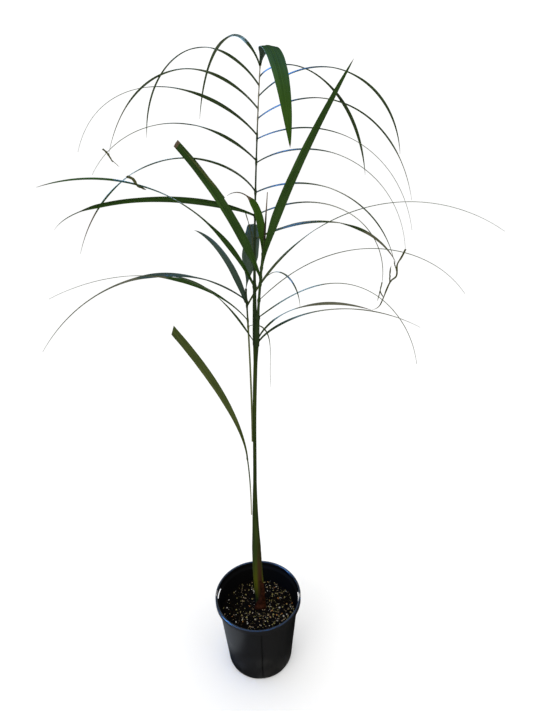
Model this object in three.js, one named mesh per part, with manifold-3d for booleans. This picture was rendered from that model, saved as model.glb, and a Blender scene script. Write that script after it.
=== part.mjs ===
// A young Cuban royal palm in a round nursery pot.
// Millimetres, +Z up. The origin is the centre of the pot's flat underside.
// +X is the right of the palm and -Y is its front. Headings are in degrees: 0 is +X, 90 is +Y.
import * as THREE from "three";
import { mergeVertices } from "three/addons/utils/BufferGeometryUtils.js";
import Module from "manifold-3d";

const wasm = await Module();
wasm.setup();

const at = (x, y, z) => new THREE.Vector3(x, y, z);
const radians = THREE.MathUtils.degToRad;

// Clearance between neighbouring pieces, and the distance within which corners are one corner
const GAP = 0.3;
const SAME_CORNER = 1e-4;

// Pot: a tub with a deep lip
const POT_HEIGHT = 197;
const RIM_RADIUS = 100;
const LIP_HEIGHT = 13;
const LIP_THICKNESS = 3.2;
const LIP_ROUNDING = 1.4;
const SHOULDER_RADIUS = 93;
const SHOULDER_DROP = 3;
const FOOT_RADIUS = 77.4;
const FOOT_ROUNDING = 5;
const FOOT_FLAT_RADIUS = 72;
const FOOT_EDGE_RADIUS = 75.5;
const WALL = 2.2;
const FLOOR = 2.6;
const INNER_CORNER = 2;
const POT_SEGMENTS = 64;

// Places on the pot's outline that follow from those sizes
const LIP_FOOT = POT_HEIGHT - LIP_HEIGHT;
const LIP_INSIDE = RIM_RADIUS - LIP_THICKNESS - LIP_ROUNDING;
const SHOULDER_HEIGHT = LIP_FOOT - SHOULDER_DROP;
const INNER_FOOT_RADIUS = FOOT_RADIUS - WALL;
const INNER_FOOT_HEIGHT = FLOOR + INNER_CORNER;
const INNER_SHOULDER_RADIUS = SHOULDER_RADIUS - WALL;

// Drain arches: low arcs cut through the wall at its foot, one of them at the front
const DRAIN_COUNT = 8;
const DRAIN_WIDTH = 26;
const DRAIN_HEIGHT = 4.5;
const DRAIN_DEPTH = 16;
const DRAIN_FROM_CENTRE = 79;
const DRAIN_SIDES = 48;

// Potting mix: level round the stem, and lower at the wall
const MIX_TOP = 150;
const MIX_FLAT_RADIUS = 30;
const MIX_EDGE_DROP = 4;
const MIX_CLEARANCE = 0.4;

// Stem: the packed leaf sheaths, from the mix up to the fork. Its centre line and its radii by height
const STEM_FOOT = MIX_TOP + GAP;
const STEM_TOP = 835.5;
const STEM_SIDES = 16;
const STEM_STEPS = 40;
const STEM_LINE = smoothLine([
  at(5, 12, STEM_FOOT),
  at(1.6, 9.5, 235),
  at(0.8, 8, 310),
  at(2.2, 6, 450),
  at(5.5, 4.5, 560),
  at(10.3, 2, 708),
  at(17.2, -1.5, STEM_TOP),
]);
const STEM_RADII = [
  [STEM_FOOT, 12.4],
  [170, 11.6],
  [260, 10.4],
  [330, 9.2],
  [400, 7.4],
  [470, 5.4],
  [520, 4.1],
  [640, 3.8],
  [740, 4.1],
  [800, 4],
  [STEM_TOP, 5.5],
];

// Every leaflet is a drooping strap. It leaves its foot `rise` degrees above level and ends at `fall`.
// A small `bend` turns it early and a large one late. `swing` curves it sideways, `roll` tips its face.
// Its width grows from the root's share of it, up to the full width at `fullAt`, and narrows to the tip's.
const LEAF_SIDES = 4;
const LEAF_STEPS = 16;
const LEAF_THICKNESS_PER_LENGTH = 0.011;
const LEAF_ROOT_WIDTH = 0.3;
const LEAF_FULL_AT = 0.35;
const LEAF_TIP_WIDTH = 0.08;
const LEAF_THINS_FROM = 0.75;
const LEAF_TIP_THICKNESS = 0.4;

// Ribs are round limbs that taper from foot to tip
const RIB_SIDES = 8;
const RIB_STEPS = 20;
const TALL_RIB = {
  line: bow(at(15.8, 1.3, STEM_TOP + GAP), at(20, 18, 1075), at(39.4, 45, 1291)),
  footRadius: 2.6,
  tipRadius: 1.6,
};
const NEW_RIB = {
  line: bow(at(18.6, -4.3, STEM_TOP + GAP), at(26, -14, 950), at(38.3, -30, 1036)),
  footRadius: 2.6,
  tipRadius: 2,
};
const BACK_RIB = {
  line: bow(at(2.9, 7.6, 620), at(6, 22, 760), at(1.6, 50, 928)),
  footRadius: 2,
  tipRadius: 1.6,
};

// Leaflets of the tall frond, down its left side and then down its right: `at` is the height of each foot
const TALL_LEAVES = [
  { at: 1289, heading: 115, rise: 56, fall: -67, bend: 0.75, length: 370, width: 11 },
  { at: 1262, heading: 140, rise: 49, fall: -84, bend: 1.05, length: 380, width: 11 },
  { at: 1229, heading: 140, rise: 44, fall: -60, bend: 0.9, length: 480, width: 11 },
  { at: 1191, heading: 175, rise: 51, fall: -51, bend: 0.85, length: 435, width: 11, swing: -40 },
  { at: 1153, heading: 175, rise: 46, fall: -56, bend: 1.05, length: 320, width: 11 },
  { at: 1104, heading: 160, rise: 62, fall: -66, bend: 0.6, length: 465, width: 12 },
  { at: 1066, heading: 185, rise: 33, fall: -26, bend: 0.5, length: 495, width: 18, swing: -60, roll: 35 },
  { at: 945, heading: 205, rise: 66, fall: -12, bend: 1.25, length: 415, width: 13, swing: 10 },
  { at: 839, heading: 200, rise: 62, fall: 8, bend: 1.95, length: 225, width: 6 },
  { at: 1289, heading: -80, rise: 54, fall: -75, bend: 0.6, length: 270, width: 26 },
  { at: 1274, heading: 30, rise: 56, fall: -81, bend: 0.5, length: 325, width: 10 },
  { at: 1247, heading: 20, rise: 41, fall: -82, bend: 1, length: 350, width: 11 },
  { at: 1215, heading: 30, rise: 32, fall: -73, bend: 0.85, length: 445, width: 11 },
  { at: 1185, heading: 20, rise: 22, fall: -76, bend: 0.9, length: 405, width: 11 },
  { at: 1149, heading: 5, rise: 31, fall: -83, bend: 0.85, length: 360, width: 11 },
  { at: 1103, heading: 5, rise: 24, fall: -76, bend: 0.9, length: 320, width: 12 },
  { at: 1066, heading: 8, rise: 23, fall: -97, bend: 1.2, length: 330, width: 12 },
  { at: 1027, heading: 8, rise: 23, fall: -60, bend: 1.3, length: 290, width: 12 },
];

// The dried strand that still links the tips of three right-hand leaflets
const TIP_STRAND = {
  line: smoothLine([
    at(289, 49, 994),
    at(283, 47, 978),
    at(272, 44.5, 967),
    at(272, 45, 950),
    at(266, 47, 938),
    at(254, 50.5, 927),
    at(253, 50, 908),
    at(248, 50, 890),
    at(241, 49, 886),
  ]),
  footRadius: 1.2,
  tipRadius: 1.2,
};

// Leaflets of the newest opened frond. The first is curled over, and the second goes on from its tip
const NEW_LEAVES = [
  { at: 1012, heading: 222, rise: 90, fall: -24, bend: 2.2, length: 146, width: 12, roll: 60, tipWidth: 0.3 },
  { onward: true, heading: 226, rise: 47, fall: 45, bend: 1, length: 108, width: 9, roll: 45 },
  { at: 970, heading: 225, rise: 66, fall: 45, bend: 1.05, length: 270, width: 14, roll: 45 },
  { at: 987, heading: -45, rise: 82, fall: 52, bend: 0.35, length: 345, width: 17, roll: -35 },
  { at: 957, heading: -60, rise: 43, fall: -87, bend: 1.8, length: 155, width: 5 },
  { at: 927, heading: -15, rise: 45, fall: -53, bend: 1.45, length: 385, width: 8 },
  { at: 893, heading: -35, rise: 39, fall: -75, bend: 2.05, length: 385, width: 11, swing: -25 },
  { at: 841, heading: -10, rise: 86, fall: -14, bend: 0.55, length: 240, width: 7, swing: -10 },
  { at: 839, heading: 10, rise: 71, fall: -31, bend: 0.45, length: 345, width: 13 },
];

// Leaflets of the older frond behind. The wide one folds over at its top
const WIDE_BLADE = {
  at: 927, heading: 55, rise: 72, fall: -45, bend: 3, length: 159, width: 33,
  swing: 40, roll: 5, rootWidth: 0.06, fullAt: 0.63, tipWidth: 0.4,
};
const BACK_LEAVES = [
  WIDE_BLADE,
  { at: 903, heading: 135, rise: 63, fall: 4, bend: 1.5, length: 190, width: 15, roll: -30 },
  { at: 906, heading: 185, rise: 43, fall: -46, bend: 0.95, length: 410, width: 13, swing: 45 },
  { at: 869, heading: 195, rise: 57, fall: -17, bend: 0.85, length: 375, width: 10, swing: 20 },
  { at: 896, heading: 20, rise: 58, fall: -32, bend: 1.15, length: 530, width: 6, swing: -45 },
  { at: 857, heading: 40, rise: 36, fall: -95, bend: 0.35, length: 220, width: 4, swing: 85 },
];

// The first leaf: a thin stalk against the stem, with one long strap, its tip cut across
const STRAP_STALK = {
  line: bow(at(-6.4, 5, 432), at(-4.4, 4.5, 533), at(-9.4, 4, 582)),
  footRadius: 1.4,
  tipRadius: 1.4,
};
const STRAP_BLADES = [{
  at: 580, heading: 190, rise: 95, fall: 57, bend: 0.4, length: 325, width: 19,
  roll: 75, rootWidth: 0.25, fullAt: 0.6, tipWidth: 0.75,
}];

// The unopened spear on the tip of the newest rib
const SPEAR = {
  line: new THREE.LineCurve3(at(38.3, -30, 1036 + GAP), at(45, -31, 1111)),
  footRadius: 1.7,
  tipRadius: 0.6,
};
const SPEAR_STEPS = 4;

// Stub of a dead sheath against the front of the stem's foot
const STUB_FOOT = at(8, -2.3, MIX_TOP + GAP);
const STUB = {
  heading: 100, rise: 90, fall: 88, bend: 1, length: 72, width: 23, thickness: 3,
  rootWidth: 1, tipWidth: 0.3,
};

// A curve through the given points.
function smoothLine(points) {
  return new THREE.CatmullRomCurve3(points, false, "centripetal");
}

// A curve from foot to tip, drawn towards a third point.
function bow(foot, towards, tip) {
  return new THREE.QuadraticBezierCurve3(foot, towards, tip);
}

// The point of an upright curve at a given height, by halving.
function pointAtHeight(curve, height) {
  const halvings = 40;
  let low = 0;
  let high = 1;
  for (let step = 0; step < halvings; step += 1) {
    const middle = (low + high) / 2;
    if (curve.getPoint(middle).z < height) low = middle;
    else high = middle;
  }
  return curve.getPoint((low + high) / 2);
}

// A value read off a list of [height, value] pairs.
function between(pairs, height) {
  for (let k = 1; k < pairs.length; k += 1) {
    const [low, from] = pairs[k - 1];
    const [high, to] = pairs[k];
    if (height <= high) return from + ((to - from) * Math.max(0, height - low)) / (high - low);
  }
  return pairs[pairs.length - 1][1];
}

// Only the positions are kept, with shared corners merged.
function bare(geometry) {
  geometry.deleteAttribute("normal");
  geometry.deleteAttribute("uv");
  return mergeVertices(geometry, SAME_CORNER);
}

function toSolid(geometry) {
  const merged = bare(geometry);
  return new wasm.Manifold(new wasm.Mesh({
    numProp: 3,
    vertProperties: new Float32Array(merged.attributes.position.array),
    triVerts: new Uint32Array(merged.index.array),
  }));
}

function toGeometry(solid) {
  const mesh = solid.getMesh();
  const geometry = new THREE.BufferGeometry();
  geometry.setAttribute("position", new THREE.BufferAttribute(mesh.vertProperties, 3));
  geometry.setIndex(new THREE.BufferAttribute(mesh.triVerts, 1));
  geometry.computeVertexNormals();
  return geometry;
}

// A turned solid about the Z axis. The outline is a list of [radius, height], upwards outside.
function turned(outline, segments) {
  const points = outline.map(([radius, height]) => new THREE.Vector2(radius, height));
  return new THREE.LatheGeometry(points, segments).rotateX(Math.PI / 2);
}

// A closed prism bent along a row of stations, each with its own width and thickness.
function sweep(stations, sides) {
  const steps = stations.length - 1;
  const geometry = new THREE.CylinderGeometry(1, 1, 1, sides, steps);
  const position = geometry.attributes.position;
  const point = new THREE.Vector3();
  for (let k = 0; k < position.count; k += 1) {
    const station = stations[Math.round((position.getY(k) + 0.5) * steps)];
    point.copy(station.centre);
    point.addScaledVector(station.across, position.getX(k) * station.halfWidth);
    point.addScaledVector(station.through, position.getZ(k) * station.halfThickness);
    position.setXYZ(k, point.x, point.y, point.z);
  }
  return geometry;
}

// A round limb along an upright curve, with level ends. radiusAt gives its radius at a share of its length.
function limb(curve, radiusAt, sides, steps) {
  const stations = [];
  for (let k = 0; k <= steps; k += 1) {
    const share = k / steps;
    const levelEnd = k === 0 || k === steps;
    const along = levelEnd ? at(0, 0, 1) : curve.getTangentAt(share);
    const through = at(1, 0, 0).cross(along).normalize();
    stations.push({
      centre: curve.getPointAt(share),
      across: along.clone().cross(through),
      through,
      halfWidth: radiusAt(share),
      halfThickness: radiusAt(share),
    });
  }
  return sweep(stations, sides);
}

// A limb whose radius tapers evenly from foot to tip.
function taperedLimb({ line, footRadius, tipRadius }, sides, steps) {
  return limb(line, (share) => THREE.MathUtils.lerp(footRadius, tipRadius, share), sides, steps);
}

// How much of its full width a leaf has at a share of its length.
function leafWidth(share, leaf) {
  const root = leaf.rootWidth ?? LEAF_ROOT_WIDTH;
  const tip = leaf.tipWidth ?? LEAF_TIP_WIDTH;
  const opened = THREE.MathUtils.smoothstep(share, 0, leaf.fullAt ?? LEAF_FULL_AT);
  const narrowed = 1 - (1 - tip) * share ** 3;
  return (root + (1 - root) * opened) * narrowed;
}

// How much of its full thickness a leaf has at a share of its length.
function leafThickness(share) {
  const tipShare = Math.max(0, share - LEAF_THINS_FROM) / (1 - LEAF_THINS_FROM);
  return 1 - (1 - LEAF_TIP_THICKNESS) * tipShare;
}

// The stations along a leaf, from its foot to its tip.
function leafStations(foot, leaf) {
  const { heading, rise, fall, bend, length, width, roll = 0, swing = 0 } = leaf;
  const thickness = leaf.thickness ?? length * LEAF_THICKNESS_PER_LENGTH;
  const turnAt = (share) => radians(heading + swing * share);
  const alongAt = (share) => {
    const pitch = radians(rise + (fall - rise) * share ** bend);
    const turn = turnAt(share);
    return at(Math.cos(pitch) * Math.cos(turn), Math.cos(pitch) * Math.sin(turn), Math.sin(pitch));
  };
  const stations = [];
  const centre = foot.clone();
  for (let k = 0; k <= LEAF_STEPS; k += 1) {
    const share = k / LEAF_STEPS;
    const along = alongAt(share);
    const turn = turnAt(share);
    const across = at(Math.sin(turn), -Math.cos(turn), 0).applyAxisAngle(along, radians(roll));
    stations.push({
      centre: centre.clone(),
      across,
      through: across.clone().cross(along),
      halfWidth: (width * leafWidth(share, leaf)) / 2,
      halfThickness: (thickness * leafThickness(share)) / 2,
    });
    centre.addScaledVector(alongAt((k + 0.5) / LEAF_STEPS), length / LEAF_STEPS);
  }
  return stations;
}

// A frond: its rib, all of its leaflets and any strand that links them, joined.
function frond(rib, leaves, strands = []) {
  let whole = toSolid(taperedLimb(rib, RIB_SIDES, RIB_STEPS));
  for (const strand of strands) {
    whole = whole.add(toSolid(taperedLimb(strand, LEAF_SIDES, LEAF_STEPS)));
  }
  let lastTip = null;
  for (const leaf of leaves) {
    const foot = leaf.onward ? lastTip : pointAtHeight(rib.line, leaf.at);
    const stations = leafStations(foot, leaf);
    whole = whole.add(toSolid(sweep(stations, LEAF_SIDES)));
    lastTip = stations[LEAF_STEPS].centre;
  }
  return toGeometry(whole);
}

// A level cylinder whose upper arc, above the ground, has the arch's width and height.
function drainArch(index) {
  const radius = ((DRAIN_WIDTH / 2) ** 2 + DRAIN_HEIGHT ** 2) / (2 * DRAIN_HEIGHT);
  const arch = new THREE.CylinderGeometry(radius, radius, DRAIN_DEPTH, DRAIN_SIDES);
  arch.rotateZ(Math.PI / 2);
  arch.translate(DRAIN_FROM_CENTRE, 0, DRAIN_HEIGHT - radius);
  arch.rotateZ((index * 2 * Math.PI) / DRAIN_COUNT);
  return toSolid(arch);
}

function potGeometry() {
  const outline = [
    [0, 0],
    [FOOT_FLAT_RADIUS, 0],
    [FOOT_EDGE_RADIUS, LIP_ROUNDING],
    [FOOT_RADIUS, FOOT_ROUNDING],
    [SHOULDER_RADIUS, SHOULDER_HEIGHT],
    [RIM_RADIUS - LIP_ROUNDING, LIP_FOOT],
    [RIM_RADIUS, LIP_FOOT + LIP_ROUNDING],
    [RIM_RADIUS, POT_HEIGHT - LIP_ROUNDING],
    [RIM_RADIUS - LIP_ROUNDING, POT_HEIGHT],
    [LIP_INSIDE + LIP_ROUNDING, POT_HEIGHT],
    [LIP_INSIDE, POT_HEIGHT - LIP_ROUNDING],
    [LIP_INSIDE, LIP_FOOT + LIP_ROUNDING],
    [INNER_SHOULDER_RADIUS, SHOULDER_HEIGHT],
    [INNER_FOOT_RADIUS, INNER_FOOT_HEIGHT],
    [INNER_FOOT_RADIUS - INNER_CORNER, FLOOR],
    [0, FLOOR],
  ];
  let pot = toSolid(turned(outline, POT_SEGMENTS));
  for (let k = 0; k < DRAIN_COUNT; k += 1) {
    pot = pot.subtract(drainArch(k));
  }
  return toGeometry(pot);
}

function mixGeometry() {
  const edge = MIX_TOP - MIX_EDGE_DROP;
  const wall = [[INNER_FOOT_HEIGHT, INNER_FOOT_RADIUS], [SHOULDER_HEIGHT, INNER_SHOULDER_RADIUS]];
  const outline = [
    [0, FLOOR + GAP],
    [INNER_FOOT_RADIUS - INNER_CORNER - MIX_CLEARANCE, FLOOR + GAP],
    [INNER_FOOT_RADIUS - MIX_CLEARANCE, INNER_FOOT_HEIGHT + GAP],
    [between(wall, edge) - MIX_CLEARANCE, edge],
    [MIX_FLAT_RADIUS, MIX_TOP],
    [0, MIX_TOP],
  ];
  return turned(outline, POT_SEGMENTS);
}

function stemGeometry() {
  const radiusAt = (share) => between(STEM_RADII, STEM_LINE.getPointAt(share).z);
  return bare(limb(STEM_LINE, radiusAt, STEM_SIDES, STEM_STEPS));
}

const finish = (colour, roughness) => new THREE.MeshStandardMaterial({
  color: colour,
  roughness,
  metalness: 0,
});
const BLACK_PLASTIC = finish(0x16171a, 0.45);
const DARK_MIX = finish(0x17140f, 0.95);
const STEM_GREEN = finish(0x3c4a1c, 0.5);
const LEAF_GREEN = finish(0x24401a, 0.45);
const NEW_GREEN = finish(0x2a4a18, 0.4);
const BACK_GREEN = finish(0x2b4438, 0.45);
const STRAP_GREEN = finish(0x44561f, 0.5);
const HUSK_BROWN = finish(0x4a2414, 0.85);

const palm = new THREE.Group();

function place(name, geometry, material) {
  const mesh = new THREE.Mesh(geometry, material);
  mesh.name = name;
  palm.add(mesh);
}

place("pot", potGeometry(), BLACK_PLASTIC);
place("potting_mix", mixGeometry(), DARK_MIX);
place("stem", stemGeometry(), STEM_GREEN);
place("tall_frond", frond(TALL_RIB, TALL_LEAVES, [TIP_STRAND]), LEAF_GREEN);
place("new_frond", frond(NEW_RIB, NEW_LEAVES), NEW_GREEN);
place("back_frond", frond(BACK_RIB, BACK_LEAVES), BACK_GREEN);
place("spear", taperedLimb(SPEAR, RIB_SIDES, SPEAR_STEPS), NEW_GREEN);
place("sheath_stub", sweep(leafStations(STUB_FOOT, STUB), LEAF_SIDES), HUSK_BROWN);
place("strap_leaf", frond(STRAP_STALK, STRAP_BLADES), STRAP_GREEN);

export default palm;
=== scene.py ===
"""A young Cuban royal palm in a round nursery pot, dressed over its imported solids.

The scene is in metres, +Z up, with its origin at the centre of the pot's underside. The sizes in
the classes below are in millimetres, as in the part's source, and a mesh takes them in metres. The
finishes and the studio are in metres. Headings are in degrees: 0 is +X, the right of the palm, and
90 is +Y, its back.
"""
import logging
import math
import random
from dataclasses import dataclass
from enum import Enum
from typing import Callable, Optional, Sequence, Union

import bmesh
import bpy
from mathutils import Matrix, Quaternion, Vector, noise


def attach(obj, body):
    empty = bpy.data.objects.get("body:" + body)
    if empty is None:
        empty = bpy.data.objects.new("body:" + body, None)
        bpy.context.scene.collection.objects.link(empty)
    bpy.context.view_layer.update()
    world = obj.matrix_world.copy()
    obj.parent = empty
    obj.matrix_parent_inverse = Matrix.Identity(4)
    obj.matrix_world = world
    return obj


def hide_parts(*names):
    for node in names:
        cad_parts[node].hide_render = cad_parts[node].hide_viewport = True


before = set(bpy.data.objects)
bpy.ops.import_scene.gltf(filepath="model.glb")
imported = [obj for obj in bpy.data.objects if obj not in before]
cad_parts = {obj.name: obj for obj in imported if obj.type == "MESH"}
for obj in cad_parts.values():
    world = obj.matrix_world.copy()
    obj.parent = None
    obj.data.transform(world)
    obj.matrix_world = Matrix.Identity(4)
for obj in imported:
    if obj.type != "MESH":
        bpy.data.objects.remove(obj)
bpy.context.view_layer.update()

LOG = logging.getLogger("palm")

MM = 0.001
BODY = "root"
UV_NAME = "Surface"

Colour = tuple[float, float, float]
Point = tuple[float, float, float]
Pairs = Sequence[tuple[float, float]]

# The pot's mould seams lie in the upright plane that is square to this direction.
ACROSS_SEAM = (0.997, 0.075)


# Small sums


def mixed(first: float, second: float, share: float) -> float:
    """The number a share of the way from the first to the second."""
    return first + (second - first) * share


def eased(value: float, low: float, high: float) -> float:
    """0 below low, 1 above high, and a smooth rise between them."""
    share = min(1.0, max(0.0, (value - low) / (high - low)))
    return share * share * (3.0 - 2.0 * share)


def between(pairs: Pairs, place: float) -> float:
    """Reads a value off a rising list of (place, value) pairs.

    Args:
        pairs: The places and their values.
        place: Where to read.

    Returns:
        The value there, or the nearest end's value outside the list.
    """
    for (low, first), (high, second) in zip(pairs, pairs[1:]):
        if place <= high:
            return mixed(first, second, max(0.0, place - low) / (high - low))
    return pairs[-1][1]


def bump_at(x: float, y: float, z: float) -> float:
    """Smooth noise from about -1 to 1 at a place."""
    return noise.noise(Vector((x, y, z)))


# Shader maths


class Signal:
    """A shader socket that takes part in Python sums by adding Math nodes."""

    def __init__(self, recipe: "Recipe", socket: bpy.types.NodeSocket) -> None:
        """Wraps a socket of a recipe's tree."""
        self.recipe = recipe
        self.socket = socket

    def _sum(self, operation: str, first: "Operand", second: "Operand") -> "Signal":
        """Adds one Math node."""
        return self.recipe.node("ShaderNodeMath", {"operation": operation}, {0: first, 1: second})

    def __add__(self, other: "Operand") -> "Signal":
        """Sum of the two."""
        return self._sum("ADD", self, other)

    def __radd__(self, other: "Operand") -> "Signal":
        """Sum of the two."""
        return self._sum("ADD", other, self)

    def __sub__(self, other: "Operand") -> "Signal":
        """This less the other."""
        return self._sum("SUBTRACT", self, other)

    def __rsub__(self, other: "Operand") -> "Signal":
        """The other less this."""
        return self._sum("SUBTRACT", other, self)

    def __mul__(self, other: "Operand") -> "Signal":
        """Product of the two."""
        return self._sum("MULTIPLY", self, other)

    def __rmul__(self, other: "Operand") -> "Signal":
        """Product of the two."""
        return self._sum("MULTIPLY", other, self)

    def __truediv__(self, other: "Operand") -> "Signal":
        """This over the other."""
        return self._sum("DIVIDE", self, other)

    def __rtruediv__(self, other: "Operand") -> "Signal":
        """The other over this."""
        return self._sum("DIVIDE", other, self)

    def wave(self, count: float) -> "Signal":
        """A wave from 0 to 1 that repeats count times over one unit."""
        turns = self * (count * math.tau)
        return self.recipe.node("ShaderNodeMath", {"operation": "SINE"}, {0: turns}) * 0.5 + 0.5

    def rising(self, low: float, high: float) -> "Signal":
        """A smooth step between two values. High may be the smaller one.

        Args:
            low: The value at which the step is 0.
            high: The value at which the step is 1.

        Returns:
            The step, from 0 to 1.
        """
        settings = {"interpolation_type": "SMOOTHSTEP"}
        sockets = {0: self, 1: low, 2: high, 3: 0.0, 4: 1.0}
        return self.recipe.node("ShaderNodeMapRange", settings, sockets)


Operand = Union[Signal, float]


class Recipe:
    """A material in the making: one Principled shader and the nodes that feed it."""

    def __init__(self, name: str) -> None:
        """Starts an empty material.

        Args:
            name: The material's name.
        """
        self.material = bpy.data.materials.new(name)
        self.material.use_nodes = True
        self.tree = self.material.node_tree
        self.tree.nodes.clear()
        self.shader = self.tree.nodes.new("ShaderNodeBsdfPrincipled")
        output = self.tree.nodes.new("ShaderNodeOutputMaterial")
        self.tree.links.new(self.shader.outputs[0], output.inputs["Surface"])

    def node(
        self,
        kind: str,
        settings: Optional[dict] = None,
        sockets: Optional[dict] = None,
        output: Union[int, str] = 0,
    ) -> Signal:
        """Adds a node.

        Args:
            kind: The node's type.
            settings: Its settings, which are set first.
            sockets: The value or link of each socket, by name or number.
            output: The output that is wanted.

        Returns:
            That output.
        """
        made = self.tree.nodes.new(kind)
        for name, value in (settings or {}).items():
            setattr(made, name, value)
        for key, value in (sockets or {}).items():
            self._feed(made.inputs[key], value)
        return Signal(self, made.outputs[output])

    def _feed(self, socket: bpy.types.NodeSocket, value: object) -> None:
        """Links a signal to a socket, or sets its value.

        Args:
            socket: The socket.
            value: A signal, a number, a vector or a colour.
        """
        if isinstance(value, Signal):
            self.tree.links.new(value.socket, socket)
        elif isinstance(value, tuple) and socket.type == "RGBA":
            socket.default_value = (*value[:3], 1.0)
        else:
            socket.default_value = value

    def place(self) -> Signal:
        """The place on the piece, in metres."""
        return self.node("ShaderNodeTexCoord", output="Object")

    def surface(self) -> Signal:
        """The piece's own UV map."""
        return self.node("ShaderNodeUVMap", {"uv_map": UV_NAME})

    def part(self, vector: Signal, axis: str) -> Signal:
        """One part, X, Y or Z, of a vector."""
        return self.node("ShaderNodeSeparateXYZ", sockets={0: vector}, output=axis)

    def stretched(self, vector: Signal, scale: Point) -> Signal:
        """A vector scaled through a Mapping node."""
        return self.node("ShaderNodeMapping", None, {"Vector": vector, "Scale": scale})

    def grain(
        self, vector: Signal, scale: float, detail: float = 3.0, rough: float = 0.5
    ) -> Signal:
        """Noise from 0 to 1, with its middle near a half."""
        sockets = {"Vector": vector, "Scale": scale, "Detail": detail, "Roughness": rough}
        return self.node("ShaderNodeTexNoise", None, sockets)

    def blend(self, share: Operand, first: object, second: object) -> Signal:
        """Mixes two colours."""
        return self.node("ShaderNodeMix", {"data_type": "RGBA"}, {0: share, 6: first, 7: second}, 2)

    def near(self, point: Vector, inner: float, outer: float) -> Signal:
        """A round spot about a point.

        Args:
            point: The middle of the spot, in metres.
            inner: The distance up to which the spot is 1.
            outer: The distance at which it has fallen to 0.

        Returns:
            The spot, from 0 to 1.
        """
        away = self.node(
            "ShaderNodeVectorMath", {"operation": "DISTANCE"}, {0: self.place(), 1: point}, "Value"
        )
        return away.rising(outer, inner)

    def bump(self, height: Signal, distance: float, strength: float) -> None:
        """Raises the surface by a height from 0 to 1, over a distance in metres."""
        sockets = {"Strength": strength, "Distance": distance, "Height": height}
        self._feed(self.shader.inputs["Normal"], self.node("ShaderNodeBump", None, sockets))

    def finish(self, **sockets: object) -> bpy.types.Material:
        """Feeds the shader and gives the material.

        Args:
            **sockets: The value or link of each socket. An underscore stands for a space.

        Returns:
            The material.
        """
        for name, value in sockets.items():
            title = name.replace("_", " ").title().replace("Ior", "IOR")
            self._feed(self.shader.inputs[title], value)
        return self.material


# Finishes


@dataclass(frozen=True)
class SatinPlastic:
    """Black moulded plastic: a fine orange peel, long scuffs, a dusty foot and painted shade down
    its mould seams.
    """

    name: str = "satin_black_plastic"
    base: Colour = (0.012, 0.012, 0.012)
    dusty: Colour = (0.045, 0.043, 0.038)
    worn: Colour = (0.42, 0.40, 0.36)
    roughness: float = 0.32
    shine: float = 0.5
    dusty_up_to: float = 0.15
    worn_spots: tuple[Point, ...] = ((-0.097, 0.004, 0.196), (0.098, -0.009, 0.196))
    worn_inner: float = 0.002
    worn_outer: float = 0.0105
    # The painted shade down each mould seam's groove: its colour, the distances from the seam's
    # plane where it is full and where it has faded, and the heights over which it fades out at its
    # top.
    seam_shade: Colour = (0.001, 0.001, 0.001)
    seam_inner: float = 0.0004
    seam_outer: float = 0.0014
    seam_ends: tuple[float, float] = (0.178, 0.170)

    def material(self) -> bpy.types.Material:
        """Makes the material.

        Returns:
            The material.
        """
        recipe = Recipe(self.name)
        place = recipe.place()
        peel = recipe.grain(place, 900.0, 2.0)
        cloud = recipe.grain(place, 22.0, 4.0, 0.6)
        scuffs = recipe.grain(recipe.stretched(place, (60.0, 60.0, 900.0)), 1.0, 3.0, 0.6)
        height = recipe.part(place, "Z")
        dust = cloud.rising(0.42, 0.75) * 0.6 + scuffs.rising(0.55, 0.8) * 0.5
        dust = dust * height.rising(self.dusty_up_to, 0.0)
        colour = recipe.blend(dust, self.base, self.dusty)
        for spot in self.worn_spots:
            mark = recipe.near(Vector(spot), self.worn_inner, self.worn_outer)
            mark = mark * recipe.grain(place, 420.0).rising(0.42, 0.58)
            colour = recipe.blend(mark, colour, self.worn)
        recipe.bump(peel * 0.7 + scuffs * 0.3, 0.0004, 0.22)
        # Painted shade: a dark line down each mould seam's groove, ending below the shoulder.
        seam = self._seam_shade(recipe, place) * height.rising(*self.seam_ends)
        colour = recipe.blend(seam * 0.85, colour, self.seam_shade)
        rough = self.roughness + (cloud - 0.5) * 0.12 + dust * 0.3
        return recipe.finish(base_color=colour, roughness=rough, specular_ior_level=self.shine)

    def _seam_shade(self, recipe: Recipe, place: Signal) -> Signal:
        """The mould seams' dark lines.

        Args:
            recipe: The material in the making.
            place: The place on the piece, in metres.

        Returns:
            1 on a seam, falling to 0 beside it.
        """
        along_x = recipe.part(place, "X") * ACROSS_SEAM[0]
        across = along_x + recipe.part(place, "Y") * ACROSS_SEAM[1]
        return (across * across).rising(self.seam_outer**2, self.seam_inner**2)


@dataclass(frozen=True)
class Crumbs:
    """A granular finish: one colour that wanders a little from lump to lump."""

    name: str
    dark: Colour
    light: Colour
    roughness: float
    scale: float
    relief: float = 0.0006

    def material(self) -> bpy.types.Material:
        """Makes the material.

        Returns:
            The material.
        """
        recipe = Recipe(self.name)
        place = recipe.place()
        fine = recipe.grain(place, self.scale, 4.0, 0.65)
        coarse = recipe.grain(place, self.scale * 0.22, 2.0)
        light = fine.rising(0.3, 0.7) * 0.65 + coarse.rising(0.35, 0.65) * 0.35
        colour = recipe.blend(light, self.dark, self.light)
        recipe.bump(fine, self.relief, 0.6)
        rough = self.roughness + (fine - 0.5) * 0.1
        return recipe.finish(base_color=colour, roughness=rough, specular_ior_level=0.01)


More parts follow.
